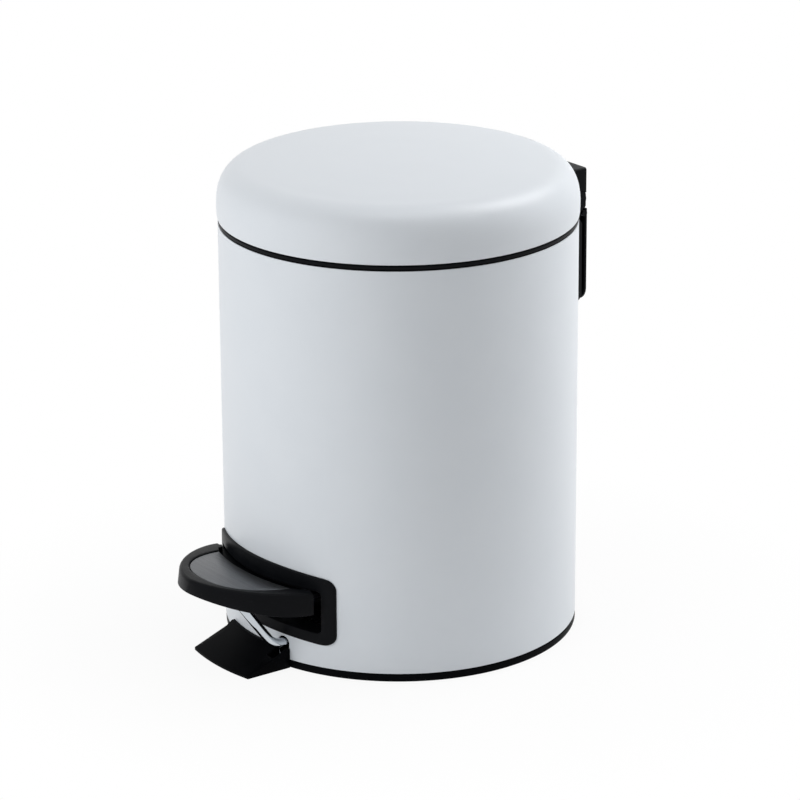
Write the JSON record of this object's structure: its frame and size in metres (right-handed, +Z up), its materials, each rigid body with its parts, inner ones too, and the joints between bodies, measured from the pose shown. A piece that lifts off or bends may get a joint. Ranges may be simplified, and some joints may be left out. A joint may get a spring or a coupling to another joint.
{
  "type": "pedal trash can",
  "caption": "Round steel pedal bin with a domed hinged lid lifted by a pedal, lever and push rod, an inner bucket with a bail, and a fold-down carry handle.",
  "frame": {"origin": "on the bin's axis, at the floor", "axes": "+Z up along the bin's axis, -Y towards the pedal, +Y towards the hinge and carry handle, +X to the right of someone who looks along +Y at the pedal"},
  "size_m": [0.2064, 0.2633, 0.2788],
  "materials": {
    "white_paint": "satin white powder coat",
    "black_plastic": "fine-grained black moulding",
    "grey_plastic": "dark grey bucket moulding",
    "brushed_steel": "brushed",
    "plated_steel": "bright zinc plating",
    "black_rubber": "matt"
  },
  "bodies": {
    "body": {"outer_shell": "white_paint", "base_tray": "black_plastic", "rim_ring": "black_plastic", "pedal_bezel": "black_plastic", "anti_tip_toe": "black_plastic", "toe_screw": "plated_steel", "fulcrum_bracket": "plated_steel", "fulcrum_screw_front": "plated_steel", "fulcrum_screw_rear": "plated_steel", "lever_pin": "plated_steel", "hinge_bracket": "black_plastic", "hinge_pin": "plated_steel", "bracket_screw_left": "plated_steel", "bracket_screw_right": "plated_steel", "inner_bucket": "grey_plastic"},
    "pedal": {"pedal_lever": "plated_steel", "pedal_stay": "plated_steel", "pedal_shell": "black_plastic", "pedal_insert": "brushed_steel", "pedal_screw_left": "plated_steel", "pedal_screw_right": "plated_steel"},
    "lid": {"lid_shell": "white_paint", "lid_liner": "black_plastic", "lid_hinge_arm": "black_plastic", "rod_pin": "plated_steel", "lid_bumper_front": "black_rubber", "lid_bumper_left": "black_rubber", "lid_bumper_right": "black_rubber", "lid_screw_left": "plated_steel", "lid_screw_right": "plated_steel"},
    "rod": {"push_rod": "plated_steel", "rod_foot": "black_plastic"},
    "handle": {"carry_handle": "black_plastic"},
    "bail": {"bucket_bail": "plated_steel", "bail_grip": "black_plastic"}
  },
  "joints": [
    {"name": "pedal_press", "type": "hinge", "parent": "body", "child": "pedal", "pos_m": [0, -0.058, 0.017], "axis": [1, 0, 0], "range_deg": [0, 7.7]},
    {"name": "lid_open", "type": "hinge", "parent": "body", "child": "lid", "pos_m": [0, 0.1085, 0.2403], "axis": [-1, 0, 0], "range_deg": [0, 72]},
    {"name": "rod_swing", "type": "hinge", "parent": "lid", "child": "rod", "pos_m": [0, 0.0885, 0.2403], "axis": [1, 0, 0], "range_deg": [0, 68]},
    {"name": "handle_fold", "type": "hinge", "parent": "body", "child": "handle", "pos_m": [0, 0.1122, 0.2313], "axis": [1, 0, 0], "range_deg": [0, 90]},
    {"name": "bail_lift", "type": "hinge", "parent": "body", "child": "bail", "pos_m": [0, 0, 0.242], "axis": [-1, 0, 0], "range_deg": [0, 12]}
  ],
  "couplings": [
    {"joint": "lid_open", "follows": "pedal_press", "ratio": 9.345},
    {"joint": "rod_swing", "follows": "pedal_press", "ratio": 8.808}
  ]
}
